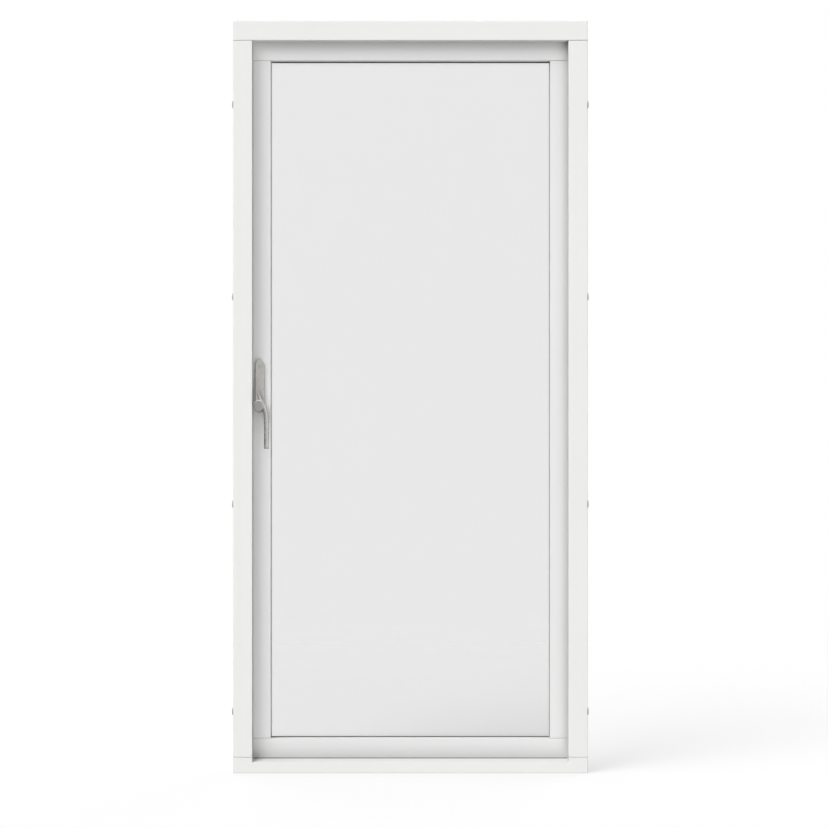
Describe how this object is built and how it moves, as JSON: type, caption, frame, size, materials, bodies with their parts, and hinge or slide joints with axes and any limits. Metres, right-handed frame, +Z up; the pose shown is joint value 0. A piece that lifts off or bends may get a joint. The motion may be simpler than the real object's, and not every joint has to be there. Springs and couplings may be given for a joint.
{
  "type": "glazed patio door",
  "caption": "Single-leaf outward-opening glazed patio door in a rebated timber frame, with sealed glass unit, lift-off hinges and a cranked lever handle.",
  "frame": {"origin": "centre of the sill's underside, halfway through the frame's depth", "axes": "+X right as seen from the room, +Y outdoors, +Z up; the hinges are at +X"},
  "size_m": [0.992, 0.144, 2.08],
  "materials": {
    "frame_paint": "pine, painted white, satin",
    "leaf_paint": "pine, painted white, satin",
    "aluminium": "anodised, matt",
    "seal_rubber": "pale weather seal",
    "gasket_rubber": "dark glazing gasket",
    "zinc_steel": "zinc plated",
    "satin_metal": "satin nickel",
    "glass": "clear float glass",
    "spacer": "warm-edge spacer",
    "setting_block": "plain"
  },
  "bodies": {
    "frame": {"frame_head": "frame_paint", "frame_jamb_lock": "frame_paint", "frame_jamb_hinge": "frame_paint", "frame_sill": "frame_paint", "sill_cover_rail": "aluminium", "frame_seal": "seal_rubber", "fixing_sleeves_lock": "zinc_steel", "fixing_sleeves_hinge": "zinc_steel", "strike_plates": "zinc_steel", "hinge_top_frame_plate": "zinc_steel", "hinge_top_pin": "zinc_steel", "hinge_middle_frame_plate": "zinc_steel", "hinge_middle_pin": "zinc_steel", "hinge_bottom_frame_plate": "zinc_steel", "hinge_bottom_pin": "zinc_steel"},
    "leaf": {"leaf_top_rail": "leaf_paint", "leaf_bottom_rail": "leaf_paint", "leaf_stile_lock": "leaf_paint", "leaf_stile_hinge": "leaf_paint", "glass_inner_pane": "glass", "glass_middle_pane": "glass", "glass_outer_pane": "glass", "glass_inner_spacer": "spacer", "glass_outer_spacer": "spacer", "glass_setting_blocks": "setting_block", "glazing_gasket_inner": "gasket_rubber", "glazing_gasket_outer": "gasket_rubber", "glazing_bead_top": "leaf_paint", "glazing_bead_bottom": "leaf_paint", "glazing_bead_lock": "leaf_paint", "glazing_bead_hinge": "leaf_paint", "drip_rail": "aluminium", "lock_faceplate": "zinc_steel", "lock_bolts": "zinc_steel", "handle_backplate": "satin_metal", "hinge_top_leaf_plate": "zinc_steel", "hinge_middle_leaf_plate": "zinc_steel", "hinge_bottom_leaf_plate": "zinc_steel"},
    "handle": {"handle_lever": "satin_metal", "handle_spindle": "zinc_steel"}
  },
  "joints": [
    {"name": "leaf_hinge", "type": "hinge", "parent": "frame", "child": "leaf", "pos_m": [0.4495, 0.061, 1.031], "axis": [0, 0, -1], "range_deg": [0, 95]},
    {"name": "handle_turn", "type": "hinge", "parent": "leaf", "child": "handle", "pos_m": [-0.4185, -0.03, 1.02], "axis": [0, -1, 0], "range_deg": [0, 90]}
  ]
}
